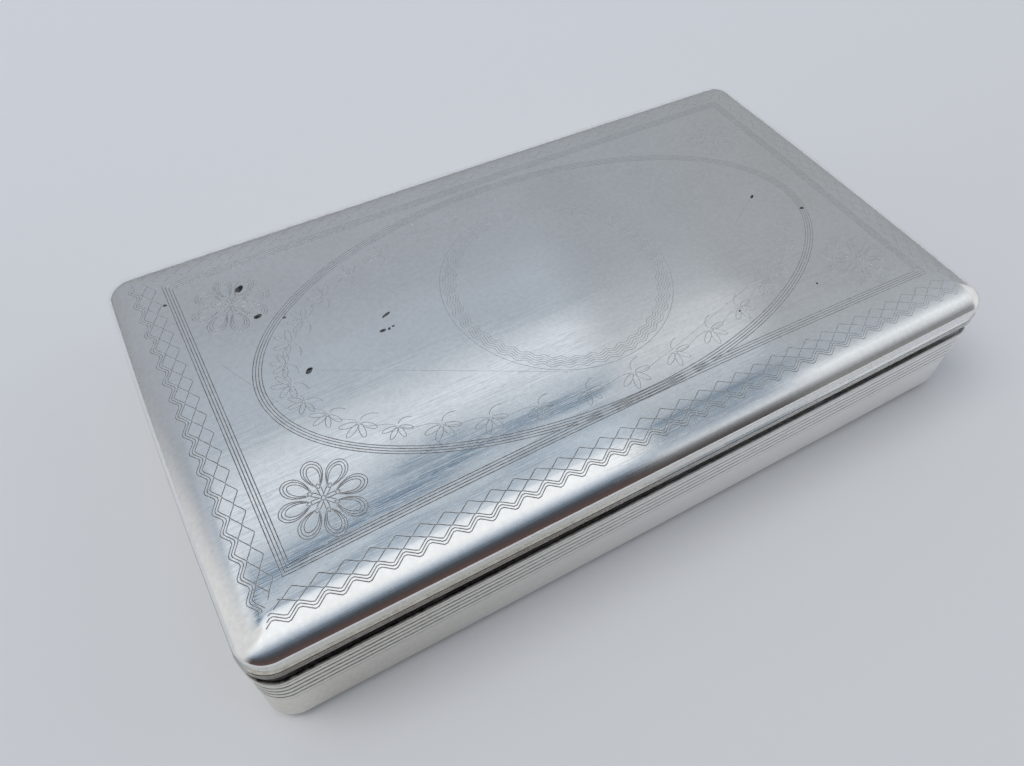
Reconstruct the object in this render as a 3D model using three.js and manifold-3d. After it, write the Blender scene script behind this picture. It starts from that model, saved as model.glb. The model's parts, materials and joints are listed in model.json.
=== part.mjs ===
// A flat silver tobacco box with rounded corners and a hinged, engraved lid.
// Millimetres. +X runs along the box, +Y to the hinge at the back, +Z up.
// The origin lies under the middle of the whole box, on the surface that it stands on.

import * as THREE from 'three';
import { mergeVertices } from 'three/addons/utils/BufferGeometryUtils.js';
import Module from 'manifold-3d';

const wasm = await Module();
wasm.setup();

// Plan of the closed box, over its rims
const CASE_LENGTH = 136.8;
const CASE_WIDTH = 77.8;
const CORNER_RADIUS = 5;
const SHARPEST_CORNER = 0.4;
const SIDE_BOW = 0.2;
const END_BOW = 0.4;

// Heights
const BODY_HEIGHT = 16.2;
const JOINT_GAP = 2.0;
const LID_BAND_HEIGHT = 2.1;
const SHOULDER_RISE = 2.8;
const SHOULDER_WIDTH = 5.7;
const LID_DOME = 1.0;
const BASE_EDGE_RADIUS = 2.2;

// Sheet and wire
const PLATE_THICKNESS = 0.7;
const WALL_THICKNESS = 0.7;
const RIM_PROUD = 0.3;

// Reeds turned round the rims and the upper wall
const WALL_REED_PITCH = 1.2;
const WALL_REEDS = 5;
const RIM_REEDS = 2;
const GROOVE_DEPTH = 0.22;
const GROOVE_WIDTH = 0.34;

// Collar inside the body, which the lid shuts over
const COLLAR_RISE = 2.8;
const COLLAR_DEPTH = 6;
const COLLAR_THICKNESS = 0.7;
const COLLAR_CLEARANCE = 0.3;

// Hinge
const HINGE_END_MARGIN = 16.4;
const KNUCKLES = 9;
const KNUCKLE_RADIUS = 1.5;
const KNUCKLE_GAP = 0.2;
const PIN_RADIUS = 0.7;
const PIN_CLEARANCE = 0.09;
const PIN_PLUG_LENGTH = 2;
const SEAT_CLEARANCE = 0.3;
const BEARER_WALL = 0.6;
const AXIS_SETBACK = 0.2;

// Fineness of the facets
const CORNER_STEPS = 6;
const SIDE_STEPS = 6;
const END_STEPS = 4;
const ARC_STEPS = 6;
const DOME_STEPS = 4;
const ROUND_SIDES = 20;

// Sizes that follow from those above
const SEAT_RADIUS = KNUCKLE_RADIUS + SEAT_CLEARANCE;
const RIM_WIDTH = SEAT_RADIUS - AXIS_SETBACK + BEARER_WALL;
const RIM_HEIGHT = SEAT_RADIUS - JOINT_GAP / 2 + BEARER_WALL;
const RIM_REED_PITCH = RIM_HEIGHT / RIM_REEDS;
const WALL_OUTSIDE = RIM_PROUD;
const WALL_INSIDE = WALL_OUTSIDE + WALL_THICKNESS;
const COLLAR_OUTSIDE = RIM_WIDTH + COLLAR_CLEARANCE;
const BACK = CASE_WIDTH / 2;
const HINGE_LENGTH = CASE_LENGTH - 2 * HINGE_END_MARGIN;

// Levels above the base
const BODY_RIM_FOOT = BODY_HEIGHT - RIM_HEIGHT;
const LID_RIM_FOOT = BODY_HEIGHT + JOINT_GAP;
const LID_BAND_FOOT = LID_RIM_FOOT + RIM_HEIGHT;
const SHOULDER_FOOT = LID_BAND_FOOT + LID_BAND_HEIGHT;
const SHOULDER_TOP = SHOULDER_FOOT + SHOULDER_RISE;

// Hinge axis, level with the joint and just behind the rims
const AXIS_Y = BACK + AXIS_SETBACK;
const AXIS_Z = BODY_HEIGHT + JOINT_GAP / 2;

// Finishes
const polishedSilver = { color: 0xdadbdb, roughness: 0.16, metalness: 1 };
const wornSilver = { color: 0xcfcec9, roughness: 0.28, metalness: 1 };
const insideSilver = { color: 0xc9c6bd, roughness: 0.4, metalness: 1 };
const pinSteel = { color: 0x9a9a98, roughness: 0.45, metalness: 1 };

// The middle of the whole box lies a little behind the middle of its rims, because the hinge stands out.
const box = new THREE.Group();
box.position.y = -(AXIS_Y + KNUCKLE_RADIUS - BACK) / 2;

function addPiece(name, geometry, finish) {
  const mesh = new THREE.Mesh(geometry, new THREE.MeshStandardMaterial(finish));
  mesh.name = name;
  box.add(mesh);
  return mesh;
}

// The plan outline, moved in by inset: four round corners and four sides that swell a little in the middle
function outline(inset) {
  const radius = Math.max(CORNER_RADIUS - inset, SHARPEST_CORNER);
  const endX = CASE_LENGTH / 2 - END_BOW - inset;
  const sideY = CASE_WIDTH / 2 - SIDE_BOW - inset;
  const reachX = endX - radius;
  const reachY = sideY - radius;
  const points = [];
  for (let quarter = 0; quarter < 4; quarter += 1) {
    const signX = quarter === 0 || quarter === 3 ? 1 : -1;
    const signY = quarter < 2 ? 1 : -1;
    for (let i = 0; i <= CORNER_STEPS; i += 1) {
      const angle = (quarter + i / CORNER_STEPS) * Math.PI / 2;
      const x = signX * reachX + radius * Math.cos(angle);
      const y = signY * reachY + radius * Math.sin(angle);
      points.push(new THREE.Vector2(x, y));
    }
    const alongSide = quarter % 2 === 0;
    const steps = alongSide ? SIDE_STEPS : END_STEPS;
    for (let i = 1; i < steps; i += 1) {
      const share = 1 - 2 * i / steps;
      const swell = 1 - share * share;
      const side = new THREE.Vector2(signX * share * reachX, signY * (sideY + SIDE_BOW * swell));
      const end = new THREE.Vector2(signX * (endX + END_BOW * swell), signY * share * reachY);
      points.push(alongSide ? side : end);
    }
  }
  return points;
}

// One ring of a surface: the outline at an inset, drawn in towards the middle by a share.
// It lies level at a height, and rises above that where the surface is domed.
function ring({ inset, z, share = 1, dome = 0 }) {
  const reachX = CASE_LENGTH / 2 - inset;
  const reachY = CASE_WIDTH / 2 - inset;
  return outline(inset).map((point) => {
    const x = point.x * share;
    const y = point.y * share;
    const crown = Math.max(0, 1 - (x / reachX) ** 2) * Math.max(0, 1 - (y / reachY) ** 2);
    return new THREE.Vector3(x, y, z + dome * crown);
  });
}

function solidGeometry(vertices, triangles) {
  const geometry = new THREE.BufferGeometry();
  geometry.setAttribute('position', new THREE.Float32BufferAttribute(vertices, 3));
  geometry.setIndex(triangles);
  geometry.computeVertexNormals();
  return geometry;
}

// Joins each ring to the next with a band of triangles
function bandsBetween(rings, pairs) {
  const count = rings[0].length;
  const triangles = [];
  for (const [lower, upper] of pairs) {
    for (let i = 0; i < count; i += 1) {
      const next = (i + 1) % count;
      const a = lower * count + i;
      const b = lower * count + next;
      const c = upper * count + next;
      const d = upper * count + i;
      triangles.push(a, b, c, a, c, d);
    }
  }
  return triangles;
}

// A strip bent round the plan: its closed section runs up the outside and down the inside
function bentStrip(section) {
  const rings = section.map(ring);
  const pairs = rings.map((_, i) => [i, (i + 1) % rings.length]);
  const vertices = rings.flat().flatMap((point) => point.toArray());
  return solidGeometry(vertices, bandsBetween(rings, pairs));
}

// A dished plate: rings from the middle of its lower face, round the edge, to the middle of its upper face
function dishedPlate(levels) {
  const rings = levels.map(ring);
  const pairs = rings.slice(1).map((_, i) => [i, i + 1]);
  const vertices = rings.flat().flatMap((point) => point.toArray());
  const triangles = bandsBetween(rings, pairs);
  const count = rings[0].length;
  const last = (rings.length - 1) * count;
  const flat = rings[0].map((point) => new THREE.Vector2(point.x, point.y));
  for (const [a, b, c] of THREE.ShapeUtils.triangulateShape(flat, [])) {
    triangles.push(c, b, a);
    triangles.push(last + a, last + b, last + c);
  }
  return solidGeometry(vertices, triangles);
}

// Levels of a quarter round from an upright wall to a level face, in steps
function quarterRound(startInset, startZ, width, rise) {
  const levels = [];
  for (let i = 0; i <= ARC_STEPS; i += 1) {
    const angle = i / ARC_STEPS * Math.PI / 2;
    levels.push({
      inset: startInset + width * (1 - Math.cos(angle)),
      z: startZ + rise * Math.sin(angle),
    });
  }
  return levels;
}

// Levels of a shallow dome from its edge to a small ring about the middle
function domeLevels(inset, z, rise) {
  const levels = [];
  for (let i = 1; i < DOME_STEPS; i += 1) {
    levels.push({ inset, z, share: 1 - i / DOME_STEPS, dome: rise });
  }
  return levels;
}

// Upright face with V grooves between reeds, from the lowest groove up
function groovedFace(inset, lowestGroove, grooves, pitch) {
  const levels = [];
  for (let i = 0; i < grooves; i += 1) {
    const z = lowestGroove + i * pitch;
    levels.push({ inset, z: z - GROOVE_WIDTH / 2 });
    levels.push({ inset: inset + GROOVE_DEPTH, z });
    levels.push({ inset, z: z + GROOVE_WIDTH / 2 });
  }
  return levels;
}

function toManifold(geometry) {
  const plain = geometry.clone();
  plain.deleteAttribute('normal');
  plain.deleteAttribute('uv');
  const merged = mergeVertices(plain);
  const vertProperties = new Float32Array(merged.attributes.position.array);
  const triVerts = new Uint32Array(merged.index.array);
  return new wasm.Manifold(new wasm.Mesh({ numProp: 3, vertProperties, triVerts }));
}

function cutAway(geometry, tool) {
  const mesh = toManifold(geometry).subtract(toManifold(tool)).getMesh();
  return solidGeometry(Array.from(mesh.vertProperties), Array.from(mesh.triVerts));
}

// A block given by its lowest and highest corners
function block(low, high) {
  const geometry = new THREE.BoxGeometry(high.x - low.x, high.y - low.y, high.z - low.z);
  return geometry.translate((low.x + high.x) / 2, (low.y + high.y) / 2, (low.z + high.z) / 2);
}

function rodAlongX(radius, length) {
  return new THREE.CylinderGeometry(radius, radius, length, ROUND_SIDES).rotateZ(Math.PI / 2);
}

// Body: a dished base, a reeded wall, a rim wire and the collar
function basePlate() {
  const edge = BASE_EDGE_RADIUS;
  const inner = edge - WALL_THICKNESS;
  const outside = quarterRound(WALL_OUTSIDE, -edge, edge, edge);
  const inside = quarterRound(WALL_INSIDE, -edge, inner, edge - PLATE_THICKNESS);
  const turnedUp = (level) => ({ inset: level.inset, z: -level.z });
  return dishedPlate([...outside.reverse().map(turnedUp), ...inside.map(turnedUp)]);
}

function bodyWall() {
  const lowestGroove = BODY_RIM_FOOT - WALL_REEDS * WALL_REED_PITCH;
  return bentStrip([
    { inset: WALL_OUTSIDE, z: BASE_EDGE_RADIUS },
    ...groovedFace(WALL_OUTSIDE, lowestGroove, WALL_REEDS, WALL_REED_PITCH),
    { inset: WALL_OUTSIDE, z: BODY_RIM_FOOT },
    { inset: WALL_INSIDE, z: BODY_RIM_FOOT },
    { inset: WALL_INSIDE, z: BASE_EDGE_RADIUS },
  ]);
}

// The rim wire, with even reeds on its outside
function rimWire(foot) {
  const top = foot + RIM_HEIGHT;
  return bentStrip([
    { inset: GROOVE_DEPTH, z: foot },
    { inset: 0, z: foot + GROOVE_WIDTH / 2 },
    ...groovedFace(0, foot + RIM_REED_PITCH, RIM_REEDS - 1, RIM_REED_PITCH),
    { inset: 0, z: top - GROOVE_WIDTH / 2 },
    { inset: GROOVE_DEPTH, z: top },
    { inset: RIM_WIDTH, z: top },
    { inset: RIM_WIDTH, z: foot },
  ]);
}

// Both rims stop short of the straight bearer that takes their place along the hinge.
function openForBearer(rim, foot) {
  const half = HINGE_LENGTH / 2 + SEAT_CLEARANCE;
  const low = new THREE.Vector3(-half, BACK - SIDE_BOW - COLLAR_OUTSIDE, foot - RIM_HEIGHT);
  const high = new THREE.Vector3(half, BACK + RIM_WIDTH, foot + 2 * RIM_HEIGHT);
  return cutAway(rim, block(low, high));
}

// A straight strip with a round seat along it for the knuckles
function hingeBearer(foot) {
  const half = HINGE_LENGTH / 2;
  const low = new THREE.Vector3(-half, BACK - RIM_WIDTH, foot);
  const high = new THREE.Vector3(half, BACK - SIDE_BOW, foot + RIM_HEIGHT);
  const seat = rodAlongX(SEAT_RADIUS, HINGE_LENGTH + 2 * SEAT_RADIUS).translate(0, AXIS_Y, AXIS_Z);
  return cutAway(block(low, high), seat);
}

function collar() {
  const inside = COLLAR_OUTSIDE + COLLAR_THICKNESS;
  const foot = BODY_HEIGHT - COLLAR_DEPTH;
  const top = BODY_HEIGHT + COLLAR_RISE;
  return bentStrip([
    { inset: COLLAR_OUTSIDE, z: foot },
    { inset: COLLAR_OUTSIDE, z: top },
    { inset: inside, z: top },
    { inset: inside, z: foot },
  ]);
}

// Lid: a plate with a rounded shoulder and a shallow dome, a plain band and a rim wire
function lidPlate() {
  const outside = quarterRound(WALL_OUTSIDE, SHOULDER_FOOT, SHOULDER_WIDTH, SHOULDER_RISE);
  const innerWidth = SHOULDER_WIDTH - WALL_THICKNESS;
  const innerRise = SHOULDER_RISE - PLATE_THICKNESS;
  const inside = quarterRound(WALL_INSIDE, SHOULDER_FOOT, innerWidth, innerRise);
  const edge = WALL_OUTSIDE + SHOULDER_WIDTH;
  const upperDome = domeLevels(edge, SHOULDER_TOP, LID_DOME);
  const lowerDome = domeLevels(edge, SHOULDER_TOP - PLATE_THICKNESS, LID_DOME);
  return dishedPlate([...lowerDome.reverse(), ...inside.reverse(), ...outside, ...upperDome]);
}

function lidBand() {
  const top = SHOULDER_FOOT;
  return bentStrip([
    { inset: WALL_OUTSIDE, z: LID_BAND_FOOT },
    { inset: WALL_OUTSIDE, z: top },
    { inset: WALL_INSIDE, z: top },
    { inset: WALL_INSIDE, z: LID_BAND_FOOT },
  ]);
}

// Hinge: tube knuckles on one pin, by turns on the body and on the lid
const BORE_RADIUS = PIN_RADIUS + PIN_CLEARANCE;
const KNUCKLE_PITCH = (HINGE_LENGTH + KNUCKLE_GAP) / KNUCKLES;
const KNUCKLE_LENGTH = KNUCKLE_PITCH - KNUCKLE_GAP;

function knuckleTube() {
  const half = KNUCKLE_LENGTH / 2;
  const section = [
    new THREE.Vector2(BORE_RADIUS, -half),
    new THREE.Vector2(KNUCKLE_RADIUS, -half),
    new THREE.Vector2(KNUCKLE_RADIUS, half),
    new THREE.Vector2(BORE_RADIUS, half),
    new THREE.Vector2(BORE_RADIUS, -half),
  ];
  return new THREE.LatheGeometry(section, ROUND_SIDES).rotateZ(Math.PI / 2);
}

addPiece('base_plate', basePlate(), wornSilver);
addPiece('body_wall', bodyWall(), wornSilver);
addPiece('body_rim', openForBearer(rimWire(BODY_RIM_FOOT), BODY_RIM_FOOT), wornSilver);
addPiece('body_collar', collar(), insideSilver);
addPiece('body_hinge_bearer', hingeBearer(BODY_RIM_FOOT), wornSilver);

addPiece('lid_plate', lidPlate(), polishedSilver);
addPiece('lid_band', lidBand(), polishedSilver);
addPiece('lid_rim', openForBearer(rimWire(LID_RIM_FOOT), LID_RIM_FOOT), polishedSilver);
addPiece('lid_hinge_bearer', hingeBearer(LID_RIM_FOOT), polishedSilver);

for (let i = 0; i < KNUCKLES; i += 1) {
  const owner = i % 2 === 0 ? 'body' : 'lid';
  const place = Math.floor(i / 2) + 1;
  const knuckle = addPiece(`${owner}_knuckle_${place}`, knuckleTube(), wornSilver);
  knuckle.position.set((i - (KNUCKLES - 1) / 2) * KNUCKLE_PITCH, AXIS_Y, AXIS_Z);
}

const PIN_LENGTH = HINGE_LENGTH - 2 * PIN_PLUG_LENGTH - 2 * SEAT_CLEARANCE;
const pin = addPiece('hinge_pin', rodAlongX(PIN_RADIUS, PIN_LENGTH), pinSteel);
pin.position.set(0, AXIS_Y, AXIS_Z);

for (const [side, sign] of [['left', -1], ['right', 1]]) {
  const plug = addPiece(`pin_plug_${side}`, rodAlongX(PIN_RADIUS, PIN_PLUG_LENGTH), wornSilver);
  plug.position.set(sign * (HINGE_LENGTH - PIN_PLUG_LENGTH) / 2, AXIS_Y, AXIS_Z);
}

export default box;
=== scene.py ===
# %% [markdown]
# A hinged silver tobacco box
#
# The box is raised from sheet silver: a dished base, an upright wall with reeds round its upper half, and a
# domed lid with an engraved top that turns on a long hinge at the back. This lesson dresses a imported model
# of it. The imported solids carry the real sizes, so each step reads its place from them, and builds the fine
# surface that the solids only outline: rounded reeds, a soft shoulder, graver cuts and worn silver.

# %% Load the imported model
import json
import math

import bmesh
import bpy
from mathutils import Matrix, Vector, noise


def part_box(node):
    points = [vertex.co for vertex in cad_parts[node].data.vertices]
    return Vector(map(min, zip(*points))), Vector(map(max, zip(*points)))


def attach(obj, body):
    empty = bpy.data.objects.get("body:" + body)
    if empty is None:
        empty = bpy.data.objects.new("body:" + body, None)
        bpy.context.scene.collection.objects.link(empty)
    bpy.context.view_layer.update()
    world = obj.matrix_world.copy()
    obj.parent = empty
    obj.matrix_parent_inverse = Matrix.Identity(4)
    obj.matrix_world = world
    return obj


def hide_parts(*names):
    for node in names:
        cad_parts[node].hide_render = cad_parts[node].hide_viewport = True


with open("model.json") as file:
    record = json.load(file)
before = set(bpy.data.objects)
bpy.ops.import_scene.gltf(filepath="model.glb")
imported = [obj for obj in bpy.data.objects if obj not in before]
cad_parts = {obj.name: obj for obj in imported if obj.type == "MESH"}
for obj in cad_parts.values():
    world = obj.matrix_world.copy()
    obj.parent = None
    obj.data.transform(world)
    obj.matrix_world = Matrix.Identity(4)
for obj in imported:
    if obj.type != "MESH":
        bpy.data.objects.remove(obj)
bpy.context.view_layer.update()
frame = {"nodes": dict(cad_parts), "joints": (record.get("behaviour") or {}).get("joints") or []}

# %% [markdown]
# Shapes below are thought out in millimetres, because that is how a silversmith measures a box, and turned
# into Blender's metres when a mesh is made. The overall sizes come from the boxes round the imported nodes.
# Only what a box cannot tell, such as a corner's radius, is written here again.

# %% Sizes of the case
MM = 0.001


def box_mm(node):
    """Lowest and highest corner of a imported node, in millimetres."""
    low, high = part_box(node)
    return low / MM, high / MM


band_low, band_high = box_mm("lid_band")
rim_low, rim_high = box_mm("lid_rim")
body_rim_low, body_rim_high = box_mm("body_rim")
wall_low, wall_high = box_mm("body_wall")
plate_low, plate_high = box_mm("lid_plate")
base_low, base_high = box_mm("base_plate")
collar_low, collar_high = box_mm("body_collar")

RIM_PROUD = rim_high.x - band_high.x
MIDDLE_Y = (band_low.y + band_high.y) / 2
HALF_LENGTH = rim_high.x
HALF_WIDTH = (band_high.y - band_low.y) / 2 + RIM_PROUD
CORNER_RADIUS = 5.0
SHARPEST_CORNER = 0.4
SIDE_BOW = 0.2
END_BOW = 0.4
SHEET = 0.7
print("plan over the rims:", round(2 * HALF_LENGTH, 2), "x", round(2 * HALF_WIDTH, 2), "mm")

# %% [markdown]
# The camera stands over the left front corner, close enough for the near corner to look large. A camera in
# Blender looks down its own -Z, so it is built from three plain turns: a heading round the upright, a tilt
# and a small roll.

# %% Camera
CAMERA_PLACE_MM = (-56.51, -81.89, 122.46)
CAMERA_HEADING = math.radians(-31.20)
CAMERA_TILT = math.radians(38.02)
CAMERA_ROLL = math.radians(2.11)
CAMERA_LENS_MM = 28.15
CAMERA_SENSOR_MM = 36.0
CAMERA_CLIP_M = 0.001

camera_data = bpy.data.cameras.new("photo_camera")
camera_data.lens = CAMERA_LENS_MM
camera_data.sensor_width = CAMERA_SENSOR_MM
camera_data.clip_start = CAMERA_CLIP_M
camera = bpy.data.objects.new("photo_camera", camera_data)
turn = Matrix.Rotation(CAMERA_HEADING, 4, "Z") @ Matrix.Rotation(CAMERA_TILT, 4, "X")
turn = turn @ Matrix.Rotation(CAMERA_ROLL, 4, "Z")
camera.matrix_world = Matrix.Translation(Vector(CAMERA_PLACE_MM) * MM) @ turn
bpy.context.scene.collection.objects.link(camera)
bpy.context.scene.camera = camera
print("camera at", CAMERA_PLACE_MM, "mm, lens", CAMERA_LENS_MM, "mm")

# %% [markdown]
# Node trees are long to write out, so small helpers come first. One makes a node and fills its sockets,
# either with a value or with a wire from another node. Two more do sums with it. The rest start a tree with
# its named inputs, end it, and put it on an object. A modifier keeps its inputs under each socket's
# identifier, so the names are looked up there.

# %% Node helpers
def make_node(tree, kind, inputs=None, **settings):
    """A node with its settings, and its sockets filled by name or number."""
    node = tree.nodes.new(kind)
    for key, value in settings.items():
        setattr(node, key, value)
    for key, value in (inputs or {}).items():
        if isinstance(value, bpy.types.NodeSocket):
            tree.links.new(value, node.inputs[key])
        else:
            node.inputs[key].default_value = value
    return node


def calc(tree, operation, *values, **settings):
    """The result of one sum."""
    sum_node = make_node(tree, "ShaderNodeMath", dict(enumerate(values)), operation=operation, **settings)
    return sum_node.outputs[0]


def map_range(tree, value, source=(0.0, 1.0), target=(0.0, 1.0), kind="LINEAR"):
    """A value moved from one range to another."""
    node = make_node(tree, "ShaderNodeMapRange", {
        "Value": value,
        "From Min": source[0],
        "From Max": source[1],
        "To Min": target[0],
        "To Max": target[1],
    }, interpolation_type=kind)
    return node.outputs[0]


def new_geometry_tree(name, **inputs):
    """An empty Geometry Nodes tree with named inputs, and the sockets that give their values."""
    tree = bpy.data.node_groups.new(name, "GeometryNodeTree")
    tree.interface.new_socket(name="Geometry", in_out="OUTPUT", socket_type="NodeSocketGeometry")
    for socket_name, kind in {"Geometry": "Geometry", **inputs}.items():
        tree.interface.new_socket(name=socket_name, in_out="INPUT", socket_type="NodeSocket" + kind)
    return tree, make_node(tree, "NodeGroupInput").outputs


def end_tree(tree, geometry, finish):
    """Ends a tree: its instances are made real and get their finish."""
    whole = make_node(tree, "GeometryNodeRealizeInstances", {"Geometry": geometry}).outputs[0]
    finished = make_node(tree, "GeometryNodeSetMaterial", {"Geometry": whole, "Material": finish}).outputs[0]
    make_node(tree, "NodeGroupOutput", {"Geometry": finished})
    print(tree.name, "has", len(tree.nodes), "nodes")


def put_tree(piece, tree, **values):
    """Puts a tree on a piece as a modifier and sets its inputs."""
    modifier = piece.modifiers.new(tree.name, "NODES")
    modifier.node_group = tree
    for item in tree.interface.items_tree:
        if item.in_out == "INPUT" and item.name in values:
            modifier[item.identifier] = values[item.name]


print("node helpers ready")

# %% [markdown]
# The light matters more than anything else on polished metal, because silver has no colour of its own: it
# shows the room. Here the room is one dome. In front, low down, it is dark. Above that come the bright
# ceiling, a dark beam, and the plain wall behind the box. One angle tells these apart: the lean of a
# direction from upright towards the back. Three ramps over that angle paint the room to the left, in the
# middle and to the right. A skylight a little to the left of overhead and pale walls on the far left and
# the far right fill the light in evenly. The skylight is far brighter than the rest, so a mirror is kept
# from showing it. The camera itself sees only a plain backdrop.

# %% Room light
ROOM_LEFT = [
    (-90, (0.11, 0.08, 0.075)),
    (-73, (0.11, 0.07, 0.065)),
    (-60, (0.07, 0.06, 0.06)),
    (-49, (0.07, 0.08, 0.10)),
    (-41, (0.17, 0.21, 0.27)),
    (-33, (0.46, 0.53, 0.62)),
    (-25, (0.82, 0.87, 0.93)),
    (-18, (0.97, 1.00, 1.03)),
    (-4, (0.97, 1.00, 1.03)),
    (12, (0.86, 0.91, 0.97)),
    (22, (0.64, 0.71, 0.80)),
    (23.5, (0.44, 0.52, 0.61)),
    (24.5, (0.28, 0.35, 0.43)),
    (25.5, (0.60, 0.66, 0.73)),
    (26.6, (0.32, 0.39, 0.47)),
    (27.5, (0.13, 0.20, 0.29)),
    (28.6, (0.36, 0.43, 0.51)),
    (30, (0.58, 0.64, 0.71)),
    (32, (0.74, 0.79, 0.86)),
    (33.5, (0.73, 0.78, 0.85)),
    (37, (0.40, 0.46, 0.53)),
    (41, (0.42, 0.47, 0.54)),
    (45, (0.37, 0.40, 0.45)),
    (80, (0.34, 0.36, 0.39)),
    (90, (0.24, 0.26, 0.28)),
]
ROOM_MIDDLE = [
    (-90, (0.09, 0.07, 0.07)),
    (-70, (0.08, 0.08, 0.08)),
    (-60, (0.13, 0.13, 0.14)),
    (-50, (0.27, 0.28, 0.30)),
    (-42, (0.64, 0.67, 0.71)),
    (-34, (0.50, 0.55, 0.62)),
    (-26, (0.34, 0.39, 0.46)),
    (-12, (0.27, 0.33, 0.40)),
    (2, (0.28, 0.34, 0.41)),
    (21, (0.20, 0.26, 0.33)),
    (22.3, (0.29, 0.35, 0.42)),
    (23.3, (0.48, 0.53, 0.59)),
    (25, (0.53, 0.57, 0.62)),
    (27, (0.60, 0.64, 0.69)),
    (29, (0.62, 0.66, 0.70)),
    (31, (0.57, 0.60, 0.64)),
    (33, (0.45, 0.49, 0.53)),
    (37, (0.38, 0.41, 0.45)),
    (41, (0.35, 0.38, 0.42)),
    (80, (0.34, 0.36, 0.39)),
    (90, (0.24, 0.26, 0.28)),
]
ROOM_RIGHT = [
    (-90, (0.26, 0.26, 0.26)),
    (-60, (0.22, 0.23, 0.24)),
    (-49, (0.42, 0.44, 0.47)),
    (-41, (0.62, 0.65, 0.69)),
    (-33, (0.74, 0.78, 0.82)),
    (-26, (0.84, 0.88, 0.93)),
    (-19, (0.72, 0.76, 0.81)),
    (-12, (0.56, 0.60, 0.65)),
    (-4, (0.46, 0.50, 0.54)),
    (6, (0.41, 0.44, 0.49)),
    (22, (0.41, 0.45, 0.50)),
    (26, (0.39, 0.42, 0.45)),
    (30, (0.36, 0.38, 0.41)),
    (80, (0.34, 0.36, 0.38)),
    (90, (0.26, 0.28, 0.30)),
]
LEFT_TO_MIDDLE = (0.39, 0.46)
MIDDLE_TO_RIGHT = (0.56, 0.63)
LEFT_WALL = (0.7, 0.71, 0.72, 1)
LEFT_WALL_SIDE = (-0.12, -0.36)
LEFT_WALL_BACK_EDGE = (44, 64)
LEFT_WALL_FRONT_EDGE = (118, 92)
RIGHT_WALL = (0.75, 0.76, 0.78, 1)
RIGHT_WALL_SIDE = (0.74, 0.86)
RIGHT_WALL_BACK_EDGE = (0.25, 0.05)
SKYLIGHT = (4.6, 4.6, 4.6, 1)
SKYLIGHT_RIGHT_EDGE = (-0.10, -0.22)
SKYLIGHT_LEFT_EDGE = (-0.75, -0.58)
SKYLIGHT_FRONT_EDGE = (-0.15, 0.0)
SKYLIGHT_BACK_EDGE = (0.42, 0.32)
BACKDROP = (0.60, 0.62, 0.67, 1)


def mix_colours(tree, share, first, second):
    mix = make_node(tree, "ShaderNodeMix", {"Factor": share, 6: first, 7: second}, data_type="RGBA")
    return mix.outputs[2]


def rise(tree, value, start, end):
    """A value that goes from 0 to 1 between two limits, with soft ends."""
    return map_range(tree, value, (start, end), kind="SMOOTHSTEP")


def product(tree, *values):
    result = values[0]
    for value in values[1:]:
        result = calc(tree, "MULTIPLY", result, value)
    return result


def colour_ramp(tree, share, stops):
    """Colours over a value, from stops that are a place and a colour."""
    ramp = make_node(tree, "ShaderNodeValToRGB", {0: share})
    elements = ramp.color_ramp.elements
    elements.remove(elements[-1])
    for number, (place, colour) in enumerate(stops):
        element = elements.new(place) if number else elements[0]
        element.position = place
        element.color = (*colour, 1)
    return ramp.outputs["Color"]


def lean_ramp(tree, lean, stops):
    """A colour ramp over the lean, with its stops in degrees."""
    first = stops[0][0]
    last = stops[-1][0]
    share = map_range(tree, lean, (math.radians(first), math.radians(last)))
    return colour_ramp(tree, share, [((angle - first) / (last - first), colour) for angle, colour in stops])


def room_light():
    world = bpy.data.worlds.new("room")
    world.use_nodes = True
    tree = world.node_tree
    tree.nodes.clear()
    way = make_node(tree, "ShaderNodeTexCoord").outputs["Generated"]
    x, y, z = make_node(tree, "ShaderNodeSeparateXYZ", {0: way}).outputs
    lean = calc(tree, "ARCTAN2", y, z)
    colour = lean_ramp(tree, lean, ROOM_LEFT)
    for limits, stops in ((LEFT_TO_MIDDLE, ROOM_MIDDLE), (MIDDLE_TO_RIGHT, ROOM_RIGHT)):
        colour = mix_colours(tree, rise(tree, x, *limits), colour, lean_ramp(tree, lean, stops))
    round_left = calc(tree, "ARCTAN2", calc(tree, "MULTIPLY", x, -1.0), y)
    left_wall = product(
        tree,
        rise(tree, round_left, *map(math.radians, LEFT_WALL_BACK_EDGE)),
        rise(tree, round_left, *map(math.radians, LEFT_WALL_FRONT_EDGE)),
        rise(tree, x, *LEFT_WALL_SIDE),
    )
    colour = mix_colours(tree, left_wall, colour, LEFT_WALL)
    right_wall = product(tree, rise(tree, x, *RIGHT_WALL_SIDE), rise(tree, y, *RIGHT_WALL_BACK_EDGE))
    colour = mix_colours(tree, right_wall, colour, RIGHT_WALL)
    path = make_node(tree, "ShaderNodeLightPath")
    skylight = product(
        tree,
        calc(tree, "SUBTRACT", 1.0, path.outputs["Is Glossy Ray"]),
        rise(tree, x, *SKYLIGHT_RIGHT_EDGE),
        rise(tree, x, *SKYLIGHT_LEFT_EDGE),
        rise(tree, y, *SKYLIGHT_FRONT_EDGE),
        rise(tree, y, *SKYLIGHT_BACK_EDGE),
    )
    colour = mix_colours(tree, skylight, colour, SKYLIGHT)
    colour = mix_colours(tree, path.outputs["Is Camera Ray"], colour, BACKDROP)
    light = make_node(tree, "ShaderNodeBackground", {"Color": colour})
    make_node(tree, "ShaderNodeOutputWorld", {"Surface": light.outputs[0]})
    bpy.context.scene.world = world


room_light()
bpy.context.scene.view_settings.view_transform = "Standard"
print("room painted with", len(ROOM_LEFT) + len(ROOM_MIDDLE) + len(ROOM_RIGHT), "colours")
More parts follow.
